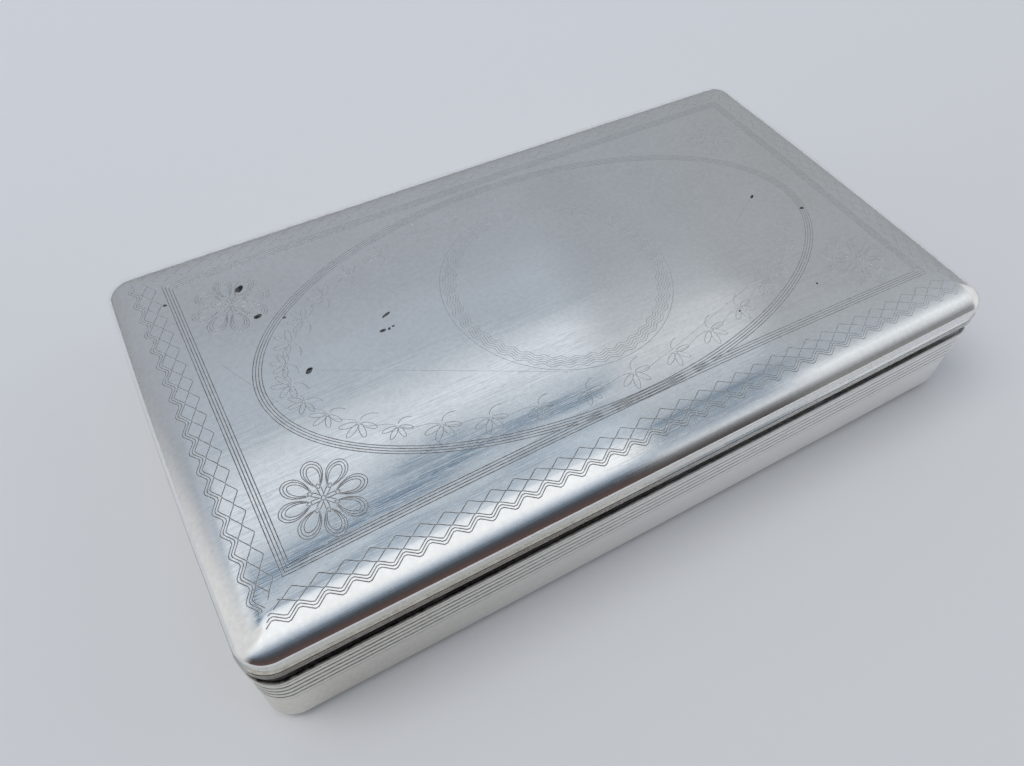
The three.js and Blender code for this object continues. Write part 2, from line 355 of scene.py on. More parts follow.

# %% [markdown]
# The box stands on a pale sheet. A wide square does for it, a hair below the base. Its colour is painted a
# little dimmer towards the front, a painted shade, under a faint mottle so that the reflection of the table
# in the lower wall is not dead flat.

# %% Table
TABLE_HALF = 3.0
TABLE_DROP = 0.00002
TABLE_LIGHT = (0.735, 0.75, 0.785, 1)
TABLE_DIM = (0.68, 0.684, 0.695, 1)
TABLE_SHADE = (0.25, -0.12)
TABLE_ROUGHNESS = 0.9
TABLE_MOTTLE = {"scale": 9.0, "detail": 3.0}
MOTTLE_SWING = 0.06
CORNER_SIGNS = [(-1, -1), (1, -1), (1, 1), (-1, 1)]


def new_material(name):
    """A plain material, its tree, its shader and the place that its patterns follow."""
    material = bpy.data.materials.new(name)
    material.use_nodes = True
    tree = material.node_tree
    place = make_node(tree, "ShaderNodeTexCoord").outputs["Object"]
    return material, tree, tree.nodes["Principled BSDF"], place


def noise_field(tree, place, scale, detail):
    """A soft noise between 0 and 1."""
    field = make_node(tree, "ShaderNodeTexNoise", {"Vector": place, "Scale": scale, "Detail": detail})
    return field.outputs["Fac"]


def table_paper():
    material, tree, shader, place = new_material("pale_table")
    back = make_node(tree, "ShaderNodeSeparateXYZ", {0: place}).outputs["Y"]
    mottle = noise_field(tree, place, **TABLE_MOTTLE)
    uneven = map_range(tree, mottle, target=(-MOTTLE_SWING, MOTTLE_SWING))
    # Painted shade: the sheet turns from its lit colour at the back to a dimmer one towards the front.
    share = calc(tree, "ADD", rise(tree, back, *TABLE_SHADE), uneven, use_clamp=True)
    tree.links.new(mix_colours(tree, share, TABLE_LIGHT, TABLE_DIM), shader.inputs["Base Color"])
    shader.inputs["Roughness"].default_value = TABLE_ROUGHNESS
    return material


table_mesh = bpy.data.meshes.new("table")
table_corners = [(TABLE_HALF * x, TABLE_HALF * y, -TABLE_DROP) for x, y in CORNER_SIGNS]
table_mesh.from_pydata(table_corners, [], [(0, 1, 2, 3)])
table_mesh.materials.append(table_paper())
table = bpy.data.objects.new("table", table_mesh)
bpy.context.scene.collection.objects.link(table)
print("table laid,", 2 * TABLE_HALF, "m square")

# %% [markdown]
# Old silver is never one even mirror. Handling leaves hairlines in every direction, breath and fingers
# leave cloudy patches that are a little duller, and black sulphide stays in the grooves where no cloth
# reaches. One recipe makes all the silvers here, with its tone and dullness as settings. Hairlines are the
# contour lines of a noise that is stretched out long. The black follows an attribute that the meshes carry:
# it is tarnish in the grooves, and painted shade on the faces round the lid's joint and on the lid's rim.
# Some silvers are also painted brighter towards the box's right end, a painted light.

# %% Silver
TARNISH_AND_SHADE = (0.035, 0.032, 0.03, 1)
BRIGHT = (0.95, 0.945, 0.93, 1)
BRIGHT_CLOUD = (0.85, 0.845, 0.825, 1)
HANDLED = (0.82, 0.80, 0.75, 1)
HANDLED_CLOUD = (0.72, 0.70, 0.64, 1)
SATIN = (0.78, 0.765, 0.72, 1)
SATIN_CLOUD = (0.66, 0.64, 0.58, 1)
WIRE = (0.56, 0.56, 0.55, 1)
WIRE_CLOUD = (0.44, 0.43, 0.41, 1)
HAIRLINES = {"scale": 1.0, "detail": 2.0}
CLOUDS = {"scale": 60.0, "detail": 5.0}
SPECKS = {"scale": 1300.0, "detail": 3.0}
GRAIN = {"scale": 2800.0, "detail": 1.0}
SPECK_SHARE = 0.55
CLOUD_EDGES = (0.3, 0.7)
PATCHY_BLACK = (0.55, 1.25)
SCUFF_RANGE = (0.3, 1.6)
BUMP_STRENGTH = 0.25
BUMP_DEPTH = 0.000004


def hairlines(tree, place, turn_deg, stretch, width):
    """Thin scratches along one heading, as a value from 0 to 1."""
    mapping = make_node(tree, "ShaderNodeMapping", {
        "Vector": place,
        "Rotation": (0, 0, math.radians(turn_deg)),
        "Scale": stretch,
    })
    field = noise_field(tree, mapping.outputs[0], **HAIRLINES)
    return colour_ramp(tree, field, [(0.5 - width, (0, 0, 0)), (0.5, (1, 1, 1)), (0.5 + width, (0, 0, 0))])


def silver(name, tone, cloud_tone, shine, dullness, scratches, grain=0.0, lit_along_x=None):
    """Worn silver: its tone, the tone of its clouds, least and added roughness, scratches and fine grain.

    Given a span along X, the silver is painted brighter between its two places as painted light, and keeps
    only a share of its black there.
    """
    material, tree, shader, place = new_material(name)
    shader.inputs["Metallic"].default_value = 1.0
    clouds = noise_field(tree, place, **CLOUDS)
    specks = noise_field(tree, place, **SPECKS)
    mottle = make_node(tree, "ShaderNodeMix", {"Factor": SPECK_SHARE, 2: clouds, 3: specks}).outputs[0]
    worn = mix_colours(tree, rise(tree, mottle, *CLOUD_EDGES), tone, cloud_tone)
    recess = make_node(tree, "ShaderNodeAttribute", attribute_name="recess").outputs["Fac"]
    # Painted light: the tone turns brighter towards the right end and keeps less black there.
    if lit_along_x:
        start, end, black_kept = lit_along_x
        along = make_node(tree, "ShaderNodeSeparateXYZ", {0: place}).outputs["X"]
        lit_share = rise(tree, along, start, end)
        worn = mix_colours(tree, lit_share, worn, BRIGHT)
        recess = product(tree, recess, map_range(tree, lit_share, target=(1.0, black_kept)))
    patchy = map_range(tree, specks, target=PATCHY_BLACK)
    black = calc(tree, "MULTIPLY", recess, patchy, use_clamp=True)
    # The black is tarnish in hollows, and painted shade round the joint and on the lid's rim.
    tree.links.new(mix_colours(tree, black, worn, TARNISH_AND_SHADE), shader.inputs["Base Color"])
    height, *more_lines = [hairlines(tree, place, *scratch) for scratch in scratches]
    for line in more_lines:
        height = calc(tree, "MAXIMUM", height, line)
    scuffed = calc(tree, "ADD", clouds, height)
    rough = map_range(tree, scuffed, SCUFF_RANGE, (shine, shine + dullness))
    tree.links.new(rough, shader.inputs["Roughness"])
    bump = make_node(tree, "ShaderNodeBump", {
        "Height": calc(tree, "MULTIPLY_ADD", noise_field(tree, place, **GRAIN), grain, height),
        "Strength": BUMP_STRENGTH,
        "Distance": BUMP_DEPTH,
    }, invert=True)
    tree.links.new(bump.outputs[0], shader.inputs["Normal"])
    return material


LONG = (25, 2600, 25)
SHORT = (90, 4200, 90)
ROUND_WALL = (25, 25, 2600)
ROUND_PIN = (2600, 25, 25)
# Places along X, in metres, where these silvers turn brighter as painted light, and the share of black kept.
WALL_PAINTED_LIGHT = (-0.06, 0.025, 0.75)
RIM_PAINTED_LIGHT = (-0.03, 0.02, 0.5)
lid_silver = silver(
    "lid_silver", BRIGHT, BRIGHT_CLOUD, shine=0.025, dullness=0.075, grain=0.8,
    scratches=[(24, LONG, 0.012), (-51, LONG, 0.010), (80, SHORT, 0.012)],
)
band_silver = silver(
    "band_silver", HANDLED, HANDLED_CLOUD, shine=0.10, dullness=0.16, lit_along_x=RIM_PAINTED_LIGHT,
    scratches=[(0, ROUND_WALL, 0.012)],
)
body_silver = silver(
    "body_silver", HANDLED, HANDLED_CLOUD, shine=0.32, dullness=0.2, lit_along_x=WALL_PAINTED_LIGHT,
    scratches=[(0, ROUND_WALL, 0.014)],
)
inside_silver = silver(
    "inside_silver", SATIN, SATIN_CLOUD, shine=0.26, dullness=0.22, lit_along_x=WALL_PAINTED_LIGHT,
    scratches=[(10, LONG, 0.02), (-70, SHORT, 0.02)],
)
pin_wire = silver(
    "pin_wire", WIRE, WIRE_CLOUD, shine=0.3, dullness=0.2, scratches=[(0, ROUND_PIN, 0.02)],
)
print("silvers:", [m.name for m in (lid_silver, band_silver, body_silver, inside_silver, pin_wire)])

# %% [markdown]
# Every part of the case follows one plan outline: four round corners and four sides that swell a little. An
# outline moved in keeps its corner centres until the radius runs out, which gives the mitred corners of the
# lid. The points run anticlockwise, from the right-hand corner at the back.

# %% Plan outline
CORNER_STEPS = 14
SIDE_STEPS = 96
END_STEPS = 56


def plan_outline(inset):
    """Points of the plan, moved in by inset, about the middle of the rims."""
    radius = max(CORNER_RADIUS - inset, SHARPEST_CORNER)
    end_x = HALF_LENGTH - END_BOW - inset
    side_y = HALF_WIDTH - SIDE_BOW - inset
    reach_x = end_x - radius
    reach_y = side_y - radius
    points = []
    for quarter in range(4):
        sign_x = 1 if quarter in (0, 3) else -1
        sign_y = 1 if quarter < 2 else -1
        for step in range(CORNER_STEPS + 1):
            angle = (quarter + step / CORNER_STEPS) * math.pi / 2
            x = sign_x * reach_x + radius * math.cos(angle)
            y = sign_y * reach_y + radius * math.sin(angle)
            points.append((x, y))
        along_side = quarter % 2 == 0
        steps = SIDE_STEPS if along_side else END_STEPS
        for step in range(1, steps):
            share = 1 - 2 * step / steps
            swell = 1 - share * share
            if along_side:
                points.append((sign_x * share * reach_x, sign_y * (side_y + SIDE_BOW * swell)))
            else:
                points.append((sign_x * (end_x + END_BOW * swell), sign_y * share * reach_y))
    return points


print("points round the plan:", len(plan_outline(0)))

# %% [markdown]
# A few helpers turn lists of points into Blender objects. Each piece is cleaned in the same way: doubles
# are merged, faces are turned outwards, and edges sharper than a set angle stay crisp while the rest shade
# smooth.

# %% Mesh helpers
CRISP_ANGLE = math.radians(32)
DOUBLES_WITHIN_M = 1e-8


def mesh_object(name, points_mm, edges=(), faces=()):
    mesh = bpy.data.meshes.new(name)
    mesh.from_pydata([Vector(point) * MM for point in points_mm], list(edges), list(faces))
    piece = bpy.data.objects.new(name, mesh)
    bpy.context.scene.collection.objects.link(piece)
    return piece


def line_object(name, lines_mm, closed):
    """Open or closed lines through points, as one mesh of edges."""
    points = []
    edges = []
    for line in lines_mm:
        first = len(points)
        points.extend(line)
        edges.extend((first + i, first + i + 1) for i in range(len(line) - 1))
        if closed:
            edges.append((len(points) - 1, first))
    return mesh_object(name, points, edges)


def settle_tree(piece):
    """Turns what the piece's trees make into its own plain mesh."""
    graph = bpy.context.evaluated_depsgraph_get()
    mesh = bpy.data.meshes.new_from_object(piece.evaluated_get(graph))
    piece.modifiers.clear()
    piece.data = mesh


def clean_up(piece, crisp=CRISP_ANGLE):
    """Merges doubles, turns faces outwards, shades smooth between crisp edges, and returns the volume."""
    work = bmesh.new()
    work.from_mesh(piece.data)
    bmesh.ops.remove_doubles(work, verts=work.verts, dist=DOUBLES_WITHIN_M)
    bmesh.ops.recalc_face_normals(work, faces=work.faces)
    volume = work.calc_volume(signed=True)
    work.to_mesh(piece.data)
    work.free()
    piece.data.shade_smooth()
    piece.data.set_sharp_from_angle(angle=crisp)
    return volume


def hand_over(piece, body, slot, *nodes):
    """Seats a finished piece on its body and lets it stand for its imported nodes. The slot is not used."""
    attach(piece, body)
    if nodes:
        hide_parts(*nodes)
    print(piece.name, "faces:", len(piece.data.polygons))


print("mesh helpers ready")

# %% [markdown]
# The wall, the rims, the lid's band and the collar are all strips: one section, drawn round the plan. On
# the bench they are drawn wire and strip, bent round a former and soldered. In Blender the same thing is a
# curve swept along a curve, so one tree makes them all. The section is drawn with its outside to +X and its
# top to -Y, which is how Curve to Mesh lays a section on a path that runs anticlockwise with its normals
# level.

# %% Tree that draws a strip round a path
def shape_of(tree, named):
    """The geometry of the object that an input names."""
    return make_node(tree, "GeometryNodeObjectInfo", {"Object": named}).outputs["Geometry"]


def as_curve(tree, lines):
    return make_node(tree, "GeometryNodeMeshToCurve", {"Mesh": lines}).outputs[0]


def sweep(tree, path, section, **inputs):
    """A section drawn along a path, with the section kept level."""
    level = make_node(tree, "GeometryNodeSetCurveNormal", {"Curve": as_curve(tree, path)}, mode="Z_UP")
    swept = make_node(tree, "GeometryNodeCurveToMesh", {
        "Curve": level.outputs[0],
        "Profile Curve": as_curve(tree, shape_of(tree, section)),
        "Fill Caps": True,
        **inputs,
    })
    return swept.outputs[0]


strip_tree, strip_in = new_geometry_tree("strip_round_path", Section="Object", Finish="Material")
end_tree(strip_tree, sweep(strip_tree, strip_in["Geometry"], strip_in["Section"]), strip_in["Finish"])


def section_object(section):
    """A closed section as an object. Its points are outward, up, and how much black they carry, for tarnish
    and for painted shade.
    """
    shape = line_object("section", [[(out, -up, 0) for out, up, _ in section]], closed=True)
    recess = shape.data.attributes.new("recess", "FLOAT", "POINT")
    recess.data.foreach_set("value", [depth for _, _, depth in section])
    return shape


def strip(name, path, closed, section, finish):
    """A strip with this section along a path of plan points."""
    piece = line_object(name, [[(x, y + MIDDLE_Y, 0) for x, y in path]], closed)
    shape = section_object(section)
    put_tree(piece, strip_tree, Section=shape, Finish=finish)
    settle_tree(piece)
    bpy.data.objects.remove(shape)
    volume = clean_up(piece)
    print(name, "volume:", round(volume / MM ** 3, 1), "mm3")
    return piece

# %% [markdown]
# A reed is a low round bead. Beads side by side leave a sharp valley between them, and the valley is where
# the black stays. This helper lists the points of a stack of beads from the lowest up.

# %% Beads
BEAD_STEPS = 8
BEAD_ROUNDNESS = 0.7
BESIDE_VALLEY_BLACK = 0.7


def beads(inset, foot, top, count, bulge, crest_shade=0.0):
    """Section points of a stack of beads on a face: outward, up, black. A crest shade paints the crests
    darker, as painted shade.
    """
    points = []
    for bead in range(count):
        for step in range(BEAD_STEPS):
            share = step / BEAD_STEPS
            out = -inset + bulge * math.sin(math.pi * share) ** BEAD_ROUNDNESS
            up = foot + (top - foot) * (bead + share) / count
            recess = crest_shade
            if step == 0:
                recess = 1.0
            elif step in (1, BEAD_STEPS - 1):
                recess = max(crest_shade, BESIDE_VALLEY_BLACK)
            points.append((out, up, recess))
    points.append((-inset, top, 1.0))
    return points


print("a bead has", BEAD_STEPS, "steps")

# %% [markdown]
# The wall carries five reeds below the rim and is plain below them. It is a strip that runs right round,
# with its lower edge on the base.

# %% Body wall
WALL_REEDS = 5
WALL_REED_PITCH = 1.2
WALL_REED_BULGE = 0.1
VALLEY_WIDTH = 0.1
WALL_FOOT_BLACK = 0.3
wall_inside = RIM_PROUD + SHEET
reeds_foot = wall_high.z - WALL_REEDS * WALL_REED_PITCH
wall_section = [
    (-RIM_PROUD, wall_low.z, 0.0),
    (-RIM_PROUD, reeds_foot - VALLEY_WIDTH, 0.0),
    *beads(RIM_PROUD, reeds_foot, wall_high.z, WALL_REEDS, WALL_REED_BULGE),
    (-wall_inside, wall_high.z, 0.0),
    (-wall_inside, wall_low.z, WALL_FOOT_BLACK),
]
box_wall = strip("box_wall", plan_outline(0), True, wall_section, body_silver)
hand_over(box_wall, "case_body", "body_silver", "body_wall")

# %% [markdown]
# The rims stiffen both edges. They are cut away along the hinge, so their path is the plan with a gap at
# the back. The body's rim has a full round bead on top, the one bright line under the joint, with a groove
# below. Under the lid's rim the joint is a dark slot: the faces that look into it, and the top and back of
# the body's bead, are painted dark as painted shade, and the crests and ledge of the lid's rim carry a
# lighter painted shade.

# %% Rims
bearer_low, bearer_high = box_mm("body_hinge_bearer")
RIM_CLEARANCE = 0.3
RIM_WIDTH = HALF_WIDTH + MIDDLE_Y - bearer_low.y
rim_stop = bearer_high.x + RIM_CLEARANCE


def open_at_hinge(points):
    """The plan as an open line that stops at both ends of the hinge."""
    back = [abs(x) < rim_stop and y > 0 for x, y in points]
    first = back.index(True)
    last = len(points) - 1 - back[::-1].index(True)
    share = rim_stop / (HALF_LENGTH - END_BOW - CORNER_RADIUS)
    y_stop = HALF_WIDTH - SIDE_BOW + SIDE_BOW * (1 - share * share)
    return [(-rim_stop, y_stop), *points[last + 1:], *points[:first], (rim_stop, y_stop)]


TOP_BEAD_RADIUS = 0.34
ROUND_STEPS = 10
CHANNEL = 0.75
# Painted shade on the faces that look into the dark slot under the lid's rim.
JOINT_PAINTED_SHADE = 0.7
GROOVE_HEIGHT = 0.35
GROOVE_DEPTH = 0.3
# Past this angle the bead's top and back, under the lid's overhang, are painted black as painted shade.
BEAD_SHADED_FROM = math.radians(48)
groove_top = body_rim_low.z + GROOVE_HEIGHT
bead_middle = groove_top + TOP_BEAD_RADIUS
body_rim_section = [(-GROOVE_DEPTH, body_rim_low.z, 1.0), (-GROOVE_DEPTH, groove_top, 1.0)]
for step in range(ROUND_STEPS + 1):
    angle = math.pi * (step / ROUND_STEPS - 0.25)
    body_rim_section.append((
        TOP_BEAD_RADIUS * (math.cos(angle) - 1),
        bead_middle + TOP_BEAD_RADIUS * math.sin(angle),
        1.0 if step == 0 or angle > BEAD_SHADED_FROM else 0.0,
    ))
body_rim_section += [
    (-2 * TOP_BEAD_RADIUS - VALLEY_WIDTH, body_rim_high.z - CHANNEL, JOINT_PAINTED_SHADE),
    (-RIM_WIDTH, body_rim_high.z - CHANNEL, JOINT_PAINTED_SHADE),
    (-RIM_WIDTH, body_rim_low.z, JOINT_PAINTED_SHADE),
]
rim_path = open_at_hinge(plan_outline(0))
box_rim = strip("box_rim", rim_path, False, body_rim_section, body_silver)
hand_over(box_rim, "case_body", "body_silver", "body_rim")

LID_RIM_BEADS = 3
LID_RIM_TOP = 0.35
LID_RIM_BULGE = 0.14
LID_RIM_LIP = 0.5
# The crests and the ledge of the lid's rim are painted darker, a painted shade.
LID_RIM_PAINTED_SHADE = 0.5
LID_LEDGE_PAINTED_SHADE = 0.35
beads_top = rim_high.z - LID_RIM_TOP
lid_rim_section = [
    *beads(LID_RIM_BULGE, rim_low.z, beads_top, LID_RIM_BEADS, LID_RIM_BULGE, LID_RIM_PAINTED_SHADE),
    (0.0, beads_top + VALLEY_WIDTH, LID_RIM_PAINTED_SHADE),
    (0.0, rim_high.z - VALLEY_WIDTH, LID_RIM_PAINTED_SHADE),
    (-VALLEY_WIDTH, rim_high.z, LID_LEDGE_PAINTED_SHADE),
    (-RIM_WIDTH, rim_high.z, LID_LEDGE_PAINTED_SHADE),
    (-RIM_WIDTH, rim_low.z, JOINT_PAINTED_SHADE),
    (-LID_RIM_LIP, rim_low.z, JOINT_PAINTED_SHADE),
]
lid_reeded_rim = strip("lid_reeded_rim", rim_path, False, lid_rim_section, band_silver)
hand_over(lid_reeded_rim, "lid", "lid_silver", "lid_rim")

# %% [markdown]
# Above its rim the lid has a plain upright band, and inside the body stands the collar that the lid shuts
# over. The collar's top edge is rounded so that the lid finds its way over it.

# %% Lid band and collar
SEAM = 0.04
SEAM_BLACK = 0.3
BAND_FOOT_BLACK = 0.1
COLLAR_FOOT_BLACK = 0.5
COLLAR_INSIDE_BLACK = 0.4
band_section = [
    (-RIM_PROUD, band_low.z, BAND_FOOT_BLACK),
    (-RIM_PROUD, band_high.z - SEAM, 0.0),
    (-RIM_PROUD - SEAM, band_high.z, SEAM_BLACK),
    (-RIM_PROUD - SHEET, band_high.z, 0.0),
    (-RIM_PROUD - SHEET, band_low.z, 0.0),
]
lid_side_band = strip("lid_side_band", plan_outline(0), True, band_section, band_silver)
hand_over(lid_side_band, "lid", "lid_silver", "lid_band")

collar_outside = HALF_LENGTH - collar_high.x
collar_middle = collar_outside + SHEET / 2
# The collar's outside face looks into the joint and carries the same painted shade.
collar_section = [
    (-collar_outside, collar_low.z, COLLAR_FOOT_BLACK),
    (-collar_outside, rim_low.z, JOINT_PAINTED_SHADE),
]
for step in range(ROUND_STEPS + 1):
    angle = math.pi * step / ROUND_STEPS
    collar_section.append((
        -collar_middle + SHEET / 2 * math.cos(angle),
        collar_high.z - SHEET / 2 + SHEET / 2 * math.sin(angle),
        0.0,
    ))
collar_section.append((-collar_outside - SHEET, collar_low.z, COLLAR_INSIDE_BLACK))
box_collar = strip("box_collar", plan_outline(0), True, collar_section, inside_silver)
hand_over(box_collar, "case_body", "inside_silver", "body_collar")

# %% [markdown]
# The lid's top is hammered over a stake: an upright edge rolls over a tight bend into a soft shoulder, and
# the middle rises in a shallow dome. The height at any place is a sum of three: the shoulder, which depends
# on the distance in from the edge, the dome, and a very slight waviness that hand work leaves. The waviness
# is only hundredths of a millimetre, but on a mirror it is what bends the bands of light. The shape is
# lofted from rings, because each ring follows the plan at its own inset. The faces that look down are the
# inside, which is left satin.

# %% Lid top
SHOULDER_WIDTH = 5.7
SHOULDER_RISE = 2.8
SHOULDER_FULLNESS = 1.7
SHOULDER_START = math.radians(22)
LID_DOME = plate_high.z - plate_low.z - SHOULDER_RISE
ROLL_RADIUS = 0.8
ROLL_END = math.radians(34)
ROLL_RINGS = 6
SHOULDER_RINGS = 26
DOME_RINGS = 40
SMALLEST_SHARE = 0.012
WAVE_HEIGHT = 0.035
WAVE_REACH = (22.0, 8.0)
RIPPLE_SHARE = 0.25
RIPPLE_FINENESS = 3.1
WAVE_SEED = 4.0
CALM_MIDDLE = 16.0
CALM_STRENGTH = 0.35


def lid_crown(x, y):
    """Share of the dome's rise at a place on the plan."""
    return max(0.0, 1 - (x / HALF_LENGTH) ** 2) * max(0.0, 1 - (y / HALF_WIDTH) ** 2)


def lid_wave(x, y):
    """Waviness of the sheet, in millimetres: long swells and finer ripples, stronger near the edges."""
    swell = noise.noise(Vector((x / WAVE_REACH[0], y / WAVE_REACH[1], WAVE_SEED)))
    spot = Vector((x / WAVE_REACH[0], y / WAVE_REACH[1], 2 * WAVE_SEED)) * RIPPLE_FINENESS
    ripple = noise.noise(spot)
    strength = CALM_STRENGTH + (1 - CALM_STRENGTH) * min(1.0, abs(y) / CALM_MIDDLE) ** 2
    return WAVE_HEIGHT * strength * (swell + RIPPLE_SHARE * ripple)


def lid_ring(inset, level, share=1.0, wavy=1.0):
    """One ring of the lid's surface, in millimetres."""
    ring = []
    for plan_x, plan_y in plan_outline(inset):
        x = plan_x * share
        y = plan_y * share
        z = level + LID_DOME * lid_crown(x, y) + wavy * lid_wave(x, y)
        ring.append((x, y + MIDDLE_Y, z))
    return ring


def shoulder_rings(outer_inset, width, height, count):
    """Rings of a shoulder from its lower edge to its top: a tight roll, then a soft curve."""
    rings = []
    for step in range(ROLL_RINGS):
        angle = ROLL_END * step / ROLL_RINGS
        roll_in = ROLL_RADIUS * (1 - math.cos(angle))
        level = plate_low.z + ROLL_RADIUS * math.sin(angle)
        rings.append(lid_ring(outer_inset + roll_in, level, wavy=0.0))
    rolled_in = ROLL_RADIUS * (1 - math.cos(ROLL_END))
    rolled_up = ROLL_RADIUS * math.sin(ROLL_END)
    power = 2 / SHOULDER_FULLNESS
    least_across = math.cos(SHOULDER_START) ** power
    least_up = math.sin(SHOULDER_START) ** power
    for step in range(count + 1):
        angle = SHOULDER_START + (math.pi / 2 - SHOULDER_START) * step / count
        across = 1 - max(0.0, math.cos(angle)) ** power / least_across
        up = (math.sin(angle) ** power - least_up) / (1 - least_up)
        inset = outer_inset + rolled_in + (width - rolled_in) * across
        level = plate_low.z + rolled_up + (height - rolled_up) * up
        rings.append(lid_ring(inset, level, wavy=across))
    return rings


def dome_rings(inset, level, count):
    """Rings from the shoulder's top to the middle."""
    shares = [1 - (1 - SMALLEST_SHARE) * step / count for step in range(1, count + 1)]
    return [lid_ring(inset, level, share) for share in shares]


def loft(name, rings, finish):
    """A closed skin through rings, capped at the first and the last."""
    count = len(rings[0])
    points = [point for ring in rings for point in ring]
    faces = [tuple(range(count)), tuple(range(len(points) - count, len(points)))]
    for ring in range(len(rings) - 1):
        for i in range(count):
            j = (i + 1) % count
            low = ring * count
            high = low + count
            faces.append((low + i, low + j, high + j, high + i))
    piece = mesh_object(name, points, faces=faces)
    piece.data.materials.append(finish)
    volume = clean_up(piece)
    print(name, "volume:", round(volume / MM ** 3, 1), "mm3")
    return piece


shoulder_top = plate_low.z + SHOULDER_RISE
plate_edge = RIM_PROUD + SHOULDER_WIDTH
outer_skin = shoulder_rings(RIM_PROUD, SHOULDER_WIDTH, SHOULDER_RISE, SHOULDER_RINGS)
outer_skin += dome_rings(plate_edge, shoulder_top, DOME_RINGS)
inner_skin = shoulder_rings(
    RIM_PROUD + SHEET, SHOULDER_WIDTH - SHEET, SHOULDER_RISE - SHEET, SHOULDER_RINGS // 2,
)
inner_skin += dome_rings(plate_edge, shoulder_top - SHEET, DOME_RINGS // 2)
lid_top = loft("lid_top", [*reversed(inner_skin), *outer_skin], lid_silver)
lid_top.data.materials.append(inside_silver)
for polygon in lid_top.data.polygons:
    polygon.material_index = 1 if polygon.normal.z < 0 else 0

# %% [markdown]
# The base is dished in the same way, but its floor is flat and its edge is a plain quarter round.

# %% Base
BASE_RINGS = 12
edge_radius = base_high.z - base_low.z


def level_ring(inset, level):
    return [(x, y + MIDDLE_Y, level) for x, y in plan_outline(inset)]


def base_rings(inset, width, depth, count):
    """Rings of the base's edge from the upright wall down to the floor."""
    rings = []
    for step in range(count + 1):
        angle = math.pi / 2 * step / count
        level = edge_radius - depth * math.sin(angle)
        rings.append(level_ring(inset + width * (1 - math.cos(angle)), level))
    return rings


outer_edge = base_rings(RIM_PROUD, edge_radius, edge_radius, BASE_RINGS)
inner_edge = base_rings(RIM_PROUD + SHEET, edge_radius - SHEET, edge_radius - SHEET, BASE_RINGS // 2)
box_base = loft("box_base", [*reversed(outer_edge), *inner_edge], body_silver)
hand_over(box_base, "case_body", "body_silver", "base_plate")

# %% [markdown]
# Graver cuts are the lid's ornament. A real cut is a fine V with a burr thrown up on both sides. Cutting it
# into the lid's own mesh would take millions of faces, so each cut is a slim solid that lies on the lid:
# two burrs with a dark valley between them, its underside sunk out of sight. One tree makes every cut: it
# draws the section along flat lines, then drops each point straight down on the lid with a raycast, so the
# cuts follow the dome. Years in a pocket have rubbed the far side, so the cuts lose width, black and burr
# away from the near corner.

# %% Tree that engraves lines on the lid
CUT_HALF_WIDTH = 0.115
BURR_HEIGHT = 0.015
BURR_BLACK = 0.1
VALLEY_HEIGHT = 0.004
SUNK = 0.03
CUT_HALF_SECTION = [(0.25, VALLEY_HEIGHT, 1.0), (0.6, BURR_HEIGHT, BURR_BLACK), (1.0, -SUNK, 0.0)]
CUT_CRISP_ANGLE = math.radians(20)
HIGH_ABOVE = 0.05
FRESH_PLACE = (-64.0, -35.0)
WEAR_DIRECTION = (0.5, 0.75)
WEAR_REACH = (20.0, 80.0)
WIDTH_LEFT = 0.7
BURR_LEFT = 0.2
CUT = (0.90, 0.905, 0.905, 1)
CUT_CLOUD = (0.85, 0.85, 0.84, 1)


def lay_on_lid(tree, geometry, lid, share=1.0):
    """Drops a flat shape on the lid, and keeps a share of its own heights above it."""
    place = make_node(tree, "GeometryNodeInputPosition").outputs[0]
    x, y, z = make_node(tree, "ShaderNodeSeparateXYZ", {0: place}).outputs
    start = make_node(tree, "ShaderNodeCombineXYZ", {"X": x, "Y": y, "Z": HIGH_ABOVE})
    ray = make_node(tree, "GeometryNodeRaycast", {
        "Target Geometry": shape_of(tree, lid),
        "Source Position": start.outputs[0],
        "Ray Direction": (0, 0, -1),
        "Ray Length": HIGH_ABOVE,
    })
    lift = make_node(tree, "ShaderNodeCombineXYZ", {"Z": product(tree, z, share)})
    landed = make_node(tree, "ShaderNodeVectorMath", {
        0: ray.outputs["Hit Position"],
        1: lift.outputs[0],
    }, operation="ADD")
    moved = make_node(tree, "GeometryNodeSetPosition", {"Geometry": geometry, "Position": landed.outputs[0]})
    return moved.outputs[0]


def freshness(tree, left):
    """How fresh a cut is: 1 at the near left corner, down to the share left at the far right one."""
    place = make_node(tree, "GeometryNodeInputPosition").outputs[0]
    start = Vector((*FRESH_PLACE, 0)) * MM
    from_corner = make_node(tree, "ShaderNodeVectorMath", {0: place, 1: start}, operation="SUBTRACT")
    away = make_node(tree, "ShaderNodeVectorMath", {
        0: from_corner.outputs[0],
        1: (*WEAR_DIRECTION, 0),
    }, operation="DOT_PRODUCT")
    return map_range(tree, away.outputs["Value"], [reach * MM for reach in WEAR_REACH], (1.0, left))


engrave_tree, engrave_in = new_geometry_tree(
    "engrave_lines", Lid="Object", Cut="Object", Boldness="Float", Width_left="Float", Black_left="Float",
    Burr_left="Float", Finish="Material",
)
fresh_width = freshness(engrave_tree, engrave_in["Width_left"])
fresh_black = freshness(engrave_tree, engrave_in["Black_left"])
fresh_burr = freshness(engrave_tree, engrave_in["Burr_left"])
cuts = sweep(
    engrave_tree, engrave_in["Geometry"], engrave_in["Cut"],
    Scale=product(engrave_tree, engrave_in["Boldness"], fresh_width),
)
depth = make_node(engrave_tree, "GeometryNodeInputNamedAttribute", {"Name": "recess"}, data_type="FLOAT")
blackened = make_node(engrave_tree, "GeometryNodeStoreNamedAttribute", {
    "Geometry": cuts,
    "Name": "recess",
    "Value": product(engrave_tree, depth.outputs[0], fresh_black),
}, data_type="FLOAT", domain="POINT")
laid = lay_on_lid(engrave_tree, blackened.outputs[0], engrave_in["Lid"], fresh_burr)
end_tree(engrave_tree, laid, engrave_in["Finish"])

